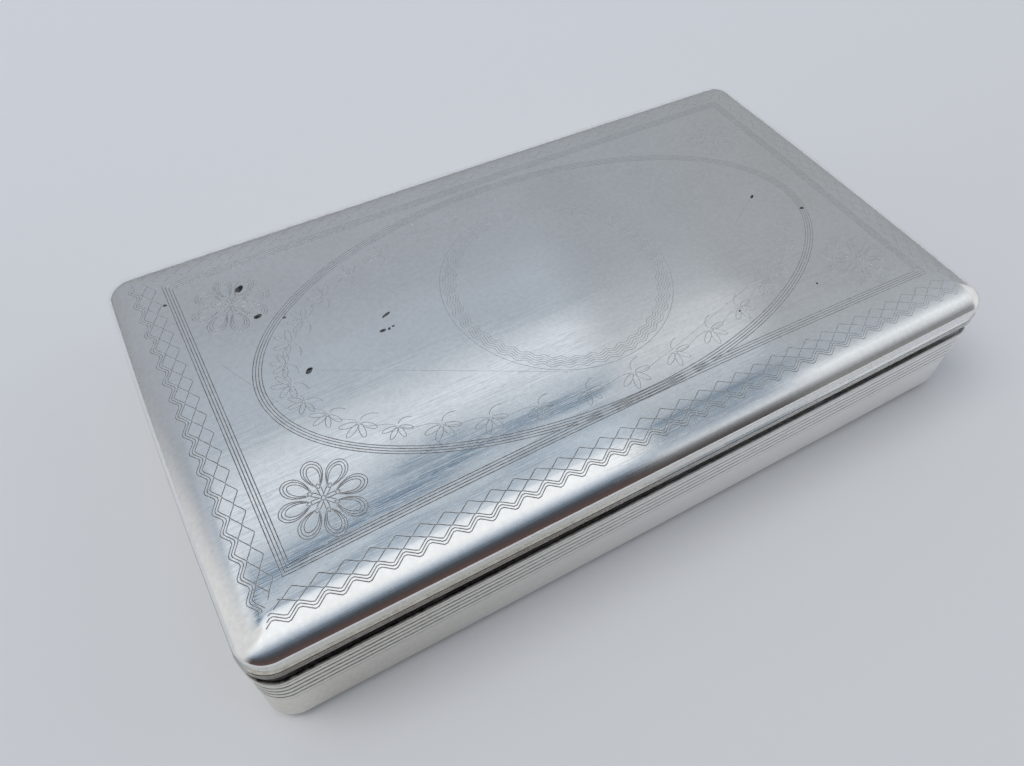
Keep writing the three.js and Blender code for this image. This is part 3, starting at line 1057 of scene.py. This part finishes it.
cut_silver = silver("cut_silver", CUT, CUT_CLOUD, shine=0.28, dullness=0.1, scratches=[(24, LONG, 0.012)])
left_half = [(-share, up, depth) for share, up, depth in reversed(CUT_HALF_SECTION)]
cut_section = [(share * CUT_HALF_WIDTH, up, depth) for share, up, depth in left_half + CUT_HALF_SECTION]
cut_shape = section_object(cut_section)


def engrave(piece, boldness, black_left):
    """Cuts a piece's lines into the lid and seats it there."""
    put_tree(
        piece, engrave_tree, Lid=lid_top, Cut=cut_shape, Boldness=boldness, Width_left=WIDTH_LEFT,
        Black_left=black_left, Burr_left=BURR_LEFT, Finish=cut_silver,
    )
    settle_tree(piece)
    clean_up(piece, CUT_CRISP_ANGLE)
    hand_over(piece, "lid", "lid_silver")

# %% [markdown]
# Two frames divide the lid: a rectangle of four fine lines, and an oval of four lines that just touches it
# at the front and the back. In the oval sits a round reserve, ringed by rows of small waves. The lines are
# plain formulas, so they are listed by short functions, one point every millimetre or so.

# %% Ruled lines, oval and round reserve
RULES = 4
RULE_PITCH = 0.46
RULE_OFFSETS = [(i - (RULES - 1) / 2) * RULE_PITCH for i in range(RULES)]
FRAME_MIDDLE = (0.43, 0.77)
FRAME_HALF = (58.46, 29.2)
FRAME_BOW = 0.9
OVAL_MIDDLE = (0.7, 0.0)
OVAL_HALF = (52.2, 27.4)
OVAL_POINTS = 220
RESERVE_RADIUS = 20.0
RESERVE_POINTS = 130
WAVE_ROWS = 5
WAVE_ROW_PITCH = 0.46
WAVE_ROW_FIRST = 17.4
WAVES_ROUND = 43
WAVE_SWING = 0.24
POINTS_A_WAVE = 8


def flat(x, y):
    """A point of a flat drawing, about the middle of the rims."""
    return (x, y + MIDDLE_Y, 0)


def ruled_rectangle(grow):
    """A rectangle round the frame's middle, grown by a distance, whose front line bows in a little."""
    half_x = FRAME_HALF[0] + grow
    half_y = FRAME_HALF[1] + grow
    corners = [(sign_x * half_x, sign_y * half_y) for sign_x, sign_y in CORNER_SIGNS]
    points = []
    for (x0, y0), (x1, y1) in zip(corners, corners[1:] + corners[:1]):
        steps = round(math.hypot(x1 - x0, y1 - y0))
        for step in range(steps):
            share = step / steps
            x = FRAME_MIDDLE[0] + x0 + (x1 - x0) * share
            y = FRAME_MIDDLE[1] + y0 + (y1 - y0) * share
            if y0 == y1 == -half_y:
                y += FRAME_BOW * 4 * share * (1 - share)
            points.append(flat(x, y))
    return points


def ruled_oval(half_x, half_y, count, swing=0.0, waves=0):
    """An oval round the lid's middle, whose line may swing in and out in waves."""
    points = []
    for i in range(count):
        angle = 2 * math.pi * i / count
        push = swing * math.sin(waves * angle)
        x = OVAL_MIDDLE[0] + (half_x + push) * math.cos(angle)
        y = OVAL_MIDDLE[1] + (half_y + push) * math.sin(angle)
        points.append(flat(x, y))
    return points


frame_lines = [ruled_rectangle(offset) for offset in RULE_OFFSETS]
frame_lines += [ruled_oval(OVAL_HALF[0] + o, OVAL_HALF[1] + o, OVAL_POINTS) for o in RULE_OFFSETS]
engraved_frames = line_object("engraved_frames", frame_lines, closed=True)
engrave(engraved_frames, boldness=1.15, black_left=0.65)

reserve_lines = [ruled_oval(RESERVE_RADIUS, RESERVE_RADIUS, RESERVE_POINTS)]
for row in range(WAVE_ROWS):
    radius = WAVE_ROW_FIRST + row * WAVE_ROW_PITCH
    points = WAVES_ROUND * POINTS_A_WAVE
    reserve_lines.append(ruled_oval(radius, radius, points, WAVE_SWING, WAVES_ROUND))
engraved_reserve = line_object("engraved_reserve", reserve_lines, closed=True)
engrave(engraved_reserve, boldness=0.7, black_left=0.3)

# %% [markdown]
# The border outside the rectangle is wriggle work: a graver rocked from side to side while it is pushed
# along. Three zig-zags meet point to point and leave two rows of diamonds, and two more run close beside
# the last. Each side of the lid has its own run, stopped at the mitre. A clipped sine gives the soft
# corners of the cut.

# %% Wriggle-work border
WRIGGLE_PITCH = 3.66
WRIGGLE_SWING = 0.57
WRIGGLE_SOFTNESS = 0.97
ROW_STEP = 1.11
LINE_STEP = 0.45
FIRST_ROWS = [2.95, 2.35, 2.2, 2.35]
WRIGGLE_ROWS = [
    (0.0, 1),
    (ROW_STEP, -1),
    (2 * ROW_STEP, 1),
    (2 * ROW_STEP + LINE_STEP, 1),
    (2 * ROW_STEP + 2 * LINE_STEP, 1),
]
POINTS_A_WRIGGLE = 8
MITRE_SHARE = 0.8


def soft_zigzag(turns):
    """A zig-zag from -1 to 1 with slightly rounded corners, once per turn."""
    return math.asin(WRIGGLE_SOFTNESS * math.cos(2 * math.pi * turns)) / math.asin(WRIGGLE_SOFTNESS)


def wriggle_side(heading, half_along, frame_line, first_row):
    """The runs of one side: heading 0 is the front, and each quarter turn goes anticlockwise."""
    along = Vector((1, 0))
    outward = Vector((0, -1))
    turned = Matrix.Rotation(heading * math.pi / 2, 2)
    lines = []
    for offset, sign in WRIGGLE_ROWS:
        reach = half_along + MITRE_SHARE * (first_row + offset)
        count = round(2 * reach / WRIGGLE_PITCH * POINTS_A_WRIGGLE)
        line = []
        for i in range(count + 1):
            s = -reach + 2 * reach * i / count
            swing = sign * WRIGGLE_SWING * soft_zigzag(s / WRIGGLE_PITCH)
            out = frame_line + first_row + offset - swing
            spot = turned @ (along * s + outward * out)
            line.append(flat(FRAME_MIDDLE[0] + spot.x, FRAME_MIDDLE[1] + spot.y))
        lines.append(line)
    return lines


border_lines = []
for heading, first_row in enumerate(FIRST_ROWS):
    half_along, frame_line = FRAME_HALF if heading % 2 == 0 else reversed(FRAME_HALF)
    border_lines += wriggle_side(heading, half_along, frame_line, first_row)
engraved_border = line_object("engraved_border", border_lines, closed=False)
engrave(engraved_border, boldness=1.05, black_left=0.4)

# %% [markdown]
# A flower fills each corner between the rectangle and the oval: eight round petals, each drawn three times
# over, with a small pointed leaf at its root. One petal is drawn by a formula. A small tree then sets it
# round a ring, and the flower in the four corners, before the engraving tree cuts all the lines at once.

# %% Corner flowers
PETALS = 8
PETAL_ROOT = 1.7
PETAL_LENGTHS = [6.5, 6.05, 5.55]
PETAL_HALF_WIDTHS = [1.5, 1.2, 0.85]
PETAL_POINTS = 28
PETAL_FULLNESS = 1.5
LEAF_ROOT = 0.25
LEAF_TIP = 2.5
LEAF_HALF_WIDTH = 0.3
LEAF_POINTS = 10
FLOWER_REACH = (50.5, 20.8)


def petal_line(tip, half_width):
    """A petal along +X: narrow at its root, widest past the middle, with a round tip."""
    points = []
    for i in range(PETAL_POINTS):
        angle = 2 * math.pi * i / PETAL_POINTS
        share = (1 - math.cos(angle)) / 2
        side = 1 if angle <= math.pi else -1
        width = half_width * math.sqrt(max(0.0, math.sin(math.pi * share ** PETAL_FULLNESS)))
        points.append((PETAL_ROOT + (tip - PETAL_ROOT) * share, side * width, 0))
    return points


def leaf_line(root, tip, half_width, count):
    """A pointed leaf along +X."""
    points = []
    for i in range(count):
        angle = 2 * math.pi * i / count
        share = (1 - math.cos(angle)) / 2
        points.append((root + (tip - root) * share, half_width * math.sin(angle), 0))
    return points


def copies(tree, points, shape, **inputs):
    """Copies of a shape on points."""
    placed = make_node(tree, "GeometryNodeInstanceOnPoints", {"Points": points, "Instance": shape, **inputs})
    return placed.outputs[0]


flower_tree, flower_in = new_geometry_tree(
    "flowers_at_points", Petal="Object", Petals="Int", Finish="Material",
)
ring = make_node(flower_tree, "GeometryNodeMeshLine", {"Count": flower_in["Petals"], "Offset": (0, 0, 0)})
number = make_node(flower_tree, "GeometryNodeInputIndex").outputs[0]
step_angle = calc(flower_tree, "DIVIDE", 2 * math.pi, flower_in["Petals"])
spin = make_node(flower_tree, "ShaderNodeCombineXYZ", {"Z": product(flower_tree, number, step_angle)})
one_flower = copies(
    flower_tree, ring.outputs[0], shape_of(flower_tree, flower_in["Petal"]), Rotation=spin.outputs[0],
)
end_tree(flower_tree, copies(flower_tree, flower_in["Geometry"], one_flower), flower_in["Finish"])

petal_lines = [petal_line(tip, width) for tip, width in zip(PETAL_LENGTHS, PETAL_HALF_WIDTHS)]
petal_lines.append(leaf_line(LEAF_ROOT, LEAF_TIP, LEAF_HALF_WIDTH, LEAF_POINTS))
petal = line_object("petal", petal_lines, closed=True)
flower_spots = []
for sign_x, sign_y in CORNER_SIGNS:
    x = OVAL_MIDDLE[0] + sign_x * FLOWER_REACH[0]
    y = OVAL_MIDDLE[1] + sign_y * FLOWER_REACH[1]
    flower_spots.append(flat(x, y))
engraved_flowers = mesh_object("engraved_flowers", flower_spots)
put_tree(engraved_flowers, flower_tree, Petal=petal, Petals=PETALS, Finish=cut_silver)
engrave(engraved_flowers, boldness=1.0, black_left=0.25)
bpy.data.objects.remove(petal)

# %% [markdown]
# Inside the oval runs a garland: a wandering stem with a small sprig every six millimetres. A sprig is a
# fan of pointed leaves that hang to the outside and one curl to the inside. The tree turns each one along
# the stem and varies its size by a seeded random number, as a hand does.

# %% Garland
SPRIGS = 36
GARLAND_HALF = (47.7, 23.2)
SPRIG_LEAVES = [(-150, 2.9), (-108, 2.9), (-54, 2.6), (-4, 2.7)]
SPRIG_LEAF_HALF_WIDTH = 0.44
SPRIG_LEAF_ROOT = 0.3
CURL_POINTS = 8
CURL_START = 0.5
CURL_REACH = (2.1, 1.6)
STEM_SWING = 0.35
STEM_POINTS = 216
GARLAND_SEED = 7
LEAST_SPRIG = 0.85
LARGEST_SPRIG = 1.12


def turned_line(points, degrees):
    turn = Matrix.Rotation(math.radians(degrees), 3, "Z")
    return [tuple(turn @ Vector(point)) for point in points]


garland_tree, garland_in = new_geometry_tree(
    "sprigs_along_path", Sprig="Object", Least="Float", Largest="Float", Seed="Int", Finish="Material",
)
spots = make_node(garland_tree, "GeometryNodeCurveToPoints", {
    "Curve": as_curve(garland_tree, garland_in["Geometry"]),
}, mode="EVALUATED")
along_stem = make_node(garland_tree, "FunctionNodeAlignRotationToVector", {
    "Vector": spots.outputs["Tangent"],
}, axis="X")
size = make_node(garland_tree, "FunctionNodeRandomValue", {
    2: garland_in["Least"],
    3: garland_in["Largest"],
    "Seed": garland_in["Seed"],
}, data_type="FLOAT")
sprigs = copies(
    garland_tree, spots.outputs["Points"], shape_of(garland_tree, garland_in["Sprig"]),
    Rotation=along_stem.outputs[0], Scale=size.outputs[1],
)
end_tree(garland_tree, sprigs, garland_in["Finish"])

sprig_lines = []
for degrees, length in SPRIG_LEAVES:
    leaf = leaf_line(SPRIG_LEAF_ROOT, length, SPRIG_LEAF_HALF_WIDTH, LEAF_POINTS)
    sprig_lines.append(turned_line(leaf + leaf[:1], degrees))
curl = []
for i in range(CURL_POINTS + 1):
    angle = math.pi / 2 * i / CURL_POINTS
    x = CURL_REACH[0] * (1 - math.cos(angle))
    curl.append((x, CURL_START + CURL_REACH[1] * math.sin(angle), 0))
sprig_lines.append(curl)
sprig = line_object("sprig", sprig_lines, closed=False)
engraved_garland = line_object("engraved_garland", [ruled_oval(*GARLAND_HALF, SPRIGS)], closed=True)
put_tree(
    engraved_garland, garland_tree, Sprig=sprig, Least=LEAST_SPRIG, Largest=LARGEST_SPRIG,
    Seed=GARLAND_SEED, Finish=cut_silver,
)
engrave(engraved_garland, boldness=0.75, black_left=0.2)
bpy.data.objects.remove(sprig)

stem = ruled_oval(*GARLAND_HALF, STEM_POINTS, STEM_SWING, SPRIGS)
engraved_stem = line_object("engraved_stem", [stem], closed=True)
engrave(engraved_stem, boldness=0.5, black_left=0.2)

# %% [markdown]
# Use has left its marks too: a long scratch across the middle, a few shorter ones, and pits where damp got
# under the polish. Scratches are cuts of a very slim kind. A pit is drawn as a ragged fleck, thinner than a
# hair, that lies on the lid with its rim sunk and its face black.

# %% Scratches and pits
SCRATCHES = [
    ((-42.5, 0.8), (-8.3, -18.3)),
    ((37.9, -2.9), (45.4, 1.5)),
    ((8.0, -22.5), (29.0, -17.0)),
    ((-55.0, 9.0), (-49.0, -4.0)),
]
SCRATCH_POINTS = 40
PITS = [
    (-47.5, 23.75, 2.1, 1.3, 35),
    (-46.8, 16.1, 1.6, 1.0, 10),
    (-43.1, 13.75, 0.7, 0.5, 0),
    (-28.3, 6.25, 2.0, 0.6, 20),
    (-30.2, 3.3, 1.3, 0.7, 0),
    (-29.1, 3.2, 0.7, 0.5, 60),
    (-28.3, 3.4, 0.6, 0.4, 0),
    (-43.5, 1.25, 1.6, 1.0, 40),
    (-59.4, 26.0, 0.8, 0.6, 0),
    (45.4, 1.5, 1.3, 0.6, 40),
    (51.8, -5.4, 1.0, 0.7, 0),
    (40.3, -22.0, 0.5, 0.4, 0),
    (24.0, -20.8, 0.5, 0.4, 30),
]
PIT_POINTS = 12
PIT_SEED = 11
PIT_HEIGHT = 0.012
PIT_SHELF = 0.85
PIT_RAGGEDNESS = 0.45
PIT_RAGGED_FINENESS = 2

scratch_lines = []
for (x0, y0), (x1, y1) in SCRATCHES:
    shares = [i / SCRATCH_POINTS for i in range(SCRATCH_POINTS + 1)]
    scratch_lines.append([flat(x0 + (x1 - x0) * share, y0 + (y1 - y0) * share) for share in shares])
worn_scratches = line_object("worn_scratches", scratch_lines, closed=False)
engrave(worn_scratches, boldness=0.35, black_left=0.9)
bpy.data.objects.remove(cut_shape)

fleck_tree, fleck_in = new_geometry_tree("flecks_on_lid", Lid="Object", Finish="Material")
laid_flecks = lay_on_lid(fleck_tree, fleck_in["Geometry"], fleck_in["Lid"])
end_tree(fleck_tree, laid_flecks, fleck_in["Finish"])

pit_points = []
pit_faces = []
for number, (x, y, length, width, degrees) in enumerate(PITS):
    first = len(pit_points)
    turn = Matrix.Rotation(math.radians(degrees), 2)
    rings = [[], []]
    for i in range(PIT_POINTS):
        angle = 2 * math.pi * i / PIT_POINTS
        across = math.cos(angle)
        up = math.sin(angle)
        spot = Vector((PIT_RAGGED_FINENESS * across, PIT_RAGGED_FINENESS * up, PIT_SEED + number))
        ragged = 1 + PIT_RAGGEDNESS * noise.noise(spot)
        edge = turn @ Vector((length / 2 * across, width / 2 * up)) * ragged
        rings[0].append((x + edge.x, y + MIDDLE_Y + edge.y, -SUNK))
        rings[1].append((x + PIT_SHELF * edge.x, y + MIDDLE_Y + PIT_SHELF * edge.y, PIT_HEIGHT))
    pit_points += rings[0] + rings[1]
    low = list(range(first, first + PIT_POINTS))
    high = [i + PIT_POINTS for i in low]
    pit_faces += [tuple(reversed(low)), tuple(high)]
    for i in range(PIT_POINTS):
        j = (i + 1) % PIT_POINTS
        pit_faces.append((low[i], low[j], high[j], high[i]))
worn_pits = mesh_object("worn_pits", pit_points, faces=pit_faces)
depth = worn_pits.data.attributes.new("recess", "FLOAT", "POINT")
depth.data.foreach_set("value", [1.0] * len(pit_points))
put_tree(worn_pits, fleck_tree, Lid=lid_top, Finish=cut_silver)
settle_tree(worn_pits)
clean_up(worn_pits)
hand_over(worn_pits, "lid", "lid_silver")

# %% [markdown]
# The lid itself is handed over last, once everything that lies on it has been dropped in place.

# %% Seat the lid's top
hand_over(lid_top, "lid", "lid_silver", "lid_plate")

# %% [markdown]
# The hinge is at the back: two straight bearers with a hollow along them, nine knuckles cut from one tube,
# and a pin. The bearers are strips again, along a straight path, with an arc for the hollow.

# %% Hinge bearers
joint = next(j for j in frame["joints"] if j["name"] == "lid_hinge")
AXIS_Y = joint["pos_m"][1] / MM
AXIS_Z = joint["pos_m"][2] / MM
KNUCKLE_RADIUS = 1.5
SEAT_CLEARANCE = 0.3
SEAT_RADIUS = KNUCKLE_RADIUS + SEAT_CLEARANCE
SEAT_STEPS = 14
SEAT_BLACK = 0.8


def bearer(name, node, up, finish):
    """A bearer whose hollow faces the pin: up is 1 for the body's and -1 for the lid's."""
    low, high = box_mm(node)
    near = high.z if up > 0 else low.z
    far = low.z if up > 0 else high.z
    start = math.atan2(-math.sqrt(SEAT_RADIUS ** 2 - (high.y - AXIS_Y) ** 2), high.y - AXIS_Y)
    end = math.atan2((near - AXIS_Z) * up, -math.sqrt(SEAT_RADIUS ** 2 - (near - AXIS_Z) ** 2))
    section = [(low.y, far, 0.0), (high.y, far, 0.0)]
    for step in range(SEAT_STEPS + 1):
        angle = start + (end - start) * step / SEAT_STEPS
        y = AXIS_Y + SEAT_RADIUS * math.cos(angle)
        z = AXIS_Z + up * SEAT_RADIUS * math.sin(angle)
        section.append((y, z, SEAT_BLACK))
    section.append((low.y, near, SEAT_BLACK))
    path = [(high.x, -MIDDLE_Y), (low.x, -MIDDLE_Y)]
    return strip(name, path, False, section, finish)


box_bearer = bearer("box_bearer", "body_hinge_bearer", 1, body_silver)
hand_over(box_bearer, "case_body", "body_silver", "body_hinge_bearer")
lid_bearer = bearer("lid_bearer", "lid_hinge_bearer", -1, lid_silver)
hand_over(lid_bearer, "lid", "lid_silver", "lid_hinge_bearer")

# %% [markdown]
# Knuckles, pin and plugs are turned shapes: a profile spun round the hinge's axis. One knuckle is turned,
# and a small tree sets it in a row, by turns for the body and for the lid.

# %% Knuckles, pin and plugs
TURN_STEPS = 40
KNUCKLE_BORE = 0.79
KNUCKLE_CHAMFER = 0.12
PIN_DOME = 0.12


def turned(name, profile, closed, finish):
    """A profile of places along X and radii, spun round X. A closed profile makes a tube."""
    count = len(profile)
    points = []
    for step in range(TURN_STEPS):
        angle = 2 * math.pi * step / TURN_STEPS
        points.extend((x, r * math.cos(angle), r * math.sin(angle)) for x, r in profile)
    faces = []
    for step in range(TURN_STEPS):
        here = step * count
        there = (step + 1) % TURN_STEPS * count
        for i in range(count if closed else count - 1):
            j = (i + 1) % count
            faces.append((here + i, here + j, there + j, there + i))
    if not closed:
        faces.append(tuple(step * count for step in range(TURN_STEPS)))
        faces.append(tuple(step * count + count - 1 for step in range(TURN_STEPS)))
    piece = mesh_object(name, points, faces=faces)
    piece.data.materials.append(finish)
    clean_up(piece)
    return piece


row_tree, row_in = new_geometry_tree(
    "row_of_pieces", Piece="Object", Count="Int", Start="Vector", Step="Vector", Finish="Material",
)
row_line = make_node(row_tree, "GeometryNodeMeshLine", {
    "Count": row_in["Count"],
    "Start Location": row_in["Start"],
    "Offset": row_in["Step"],
})
row_copies = copies(row_tree, row_line.outputs[0], shape_of(row_tree, row_in["Piece"]))
end_tree(row_tree, row_copies, row_in["Finish"])


def knuckle_row(name, owner, body, slot, finish):
    """All the knuckles of one body, as one piece."""
    nodes = sorted(n for n in frame["nodes"] if n.startswith(owner + "_knuckle_"))
    low, high = box_mm(nodes[0])
    half = (high.x - low.x) / 2
    tube = turned("tube", [
        (-half, KNUCKLE_BORE),
        (-half, KNUCKLE_RADIUS - KNUCKLE_CHAMFER),
        (KNUCKLE_CHAMFER - half, KNUCKLE_RADIUS),
        (half - KNUCKLE_CHAMFER, KNUCKLE_RADIUS),
        (half, KNUCKLE_RADIUS - KNUCKLE_CHAMFER),
        (half, KNUCKLE_BORE),
    ], True, finish)
    places = [sum(corner.x for corner in box_mm(node)) / 2 for node in nodes]
    row = mesh_object(name, [(0, 0, 0)])
    start = Vector((places[0], AXIS_Y, AXIS_Z)) * MM
    step = Vector((places[1] - places[0], 0, 0)) * MM
    put_tree(row, row_tree, Piece=tube, Count=len(nodes), Start=start, Step=step, Finish=finish)
    settle_tree(row)
    clean_up(row)
    bpy.data.objects.remove(tube)
    hand_over(row, body, slot, *nodes)


def rod(name, node, slot, finish):
    """A round rod with slightly domed ends in a node's place."""
    low, high = box_mm(node)
    radius = (high.z - low.z) / 2
    piece = turned(name, [
        (low.x, radius - PIN_DOME),
        (low.x + PIN_DOME, radius),
        (high.x - PIN_DOME, radius),
        (high.x, radius - PIN_DOME),
    ], False, finish)
    piece.data.transform(Matrix.Translation(Vector((0, AXIS_Y, AXIS_Z)) * MM))
    hand_over(piece, "case_body", slot, node)


knuckle_row("box_knuckles", "body", "case_body", "body_silver", body_silver)
knuckle_row("lid_knuckles", "lid", "lid", "lid_silver", lid_silver)
rod("hinge_wire", "hinge_pin", "pin_wire", pin_wire)
rod("plug_left", "pin_plug_left", "body_silver", body_silver)
rod("plug_right", "pin_plug_right", "body_silver", body_silver)
